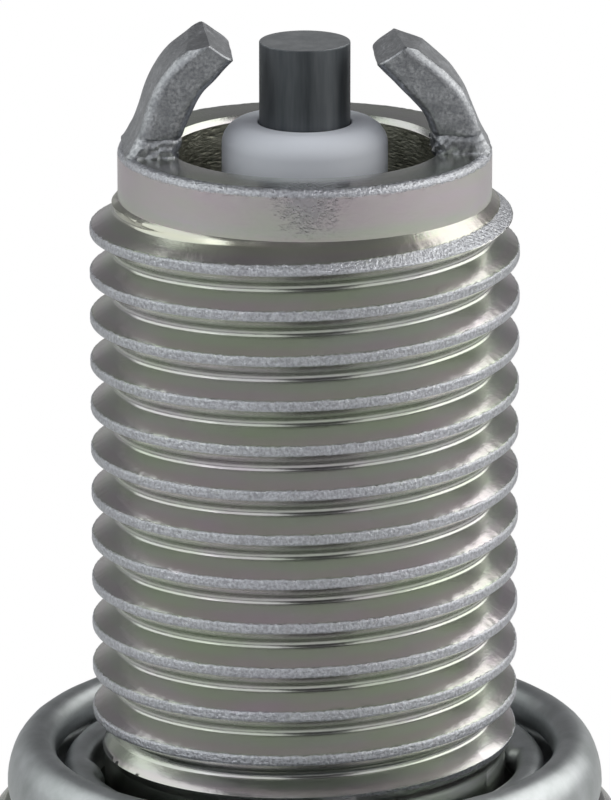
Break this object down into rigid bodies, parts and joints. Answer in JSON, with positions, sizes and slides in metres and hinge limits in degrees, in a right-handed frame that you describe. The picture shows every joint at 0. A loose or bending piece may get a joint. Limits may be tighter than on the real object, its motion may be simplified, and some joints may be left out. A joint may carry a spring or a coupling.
{
  "type": "spark plug",
  "caption": "Threaded spark plug with a ribbed ceramic insulator, bent side electrodes over its rim, a hexagon, a folded gasket and a screw-on terminal nut.",
  "frame": {"origin": "on the plug's axis, in the plane of the shell's gasket seat", "axes": "+Z along the axis, out of the firing end; +X towards the right-hand side electrode"},
  "size_m": [0.0184, 0.0174, 0.0725],
  "materials": {
    "plated_steel": "bright zinc-nickel plating, faint green and lilac tints",
    "white_ceramic": "white alumina, matt at the nose and glazed on the head",
    "dark_nickel": "dark satin nickel alloy",
    "bar_nickel": "mottled grey nickel alloy",
    "copper": "plain copper",
    "seal_glass": "fused copper and glass powder",
    "resistor_mass": "fired carbon and glass",
    "stud_steel": "plain turned steel",
    "nut_plating": "nickel-plated brass",
    "packing_steel": "plain steel",
    "talc": "pressed powder",
    "gasket_steel": "smooth rolled steel sheet"
  },
  "bodies": {
    "plug": {"shell": "plated_steel", "insulator": "white_ceramic", "centre_electrode": "dark_nickel", "centre_electrode_core": "copper", "lower_glass_seal": "seal_glass", "resistor": "resistor_mass", "upper_glass_seal": "seal_glass", "terminal_stud": "stud_steel", "seat_packing": "packing_steel", "lower_packing_ring": "packing_steel", "talc_seal": "talc", "upper_packing_ring": "packing_steel", "ground_electrode_left": "bar_nickel", "ground_electrode_right": "bar_nickel"},
    "gasket": {"gasket": "gasket_steel"},
    "terminal_nut": {"terminal_nut": "nut_plating"}
  },
  "joints": [
    {"name": "gasket_float", "type": "slide", "parent": "plug", "child": "gasket", "axis": [0, 0, 1], "range_m": [0, 0.0007]},
    {"name": "terminal_nut_off", "type": "slide", "parent": "plug", "child": "terminal_nut", "axis": [0, 0, -1], "range_m": [0, 0.008]}
  ]
}
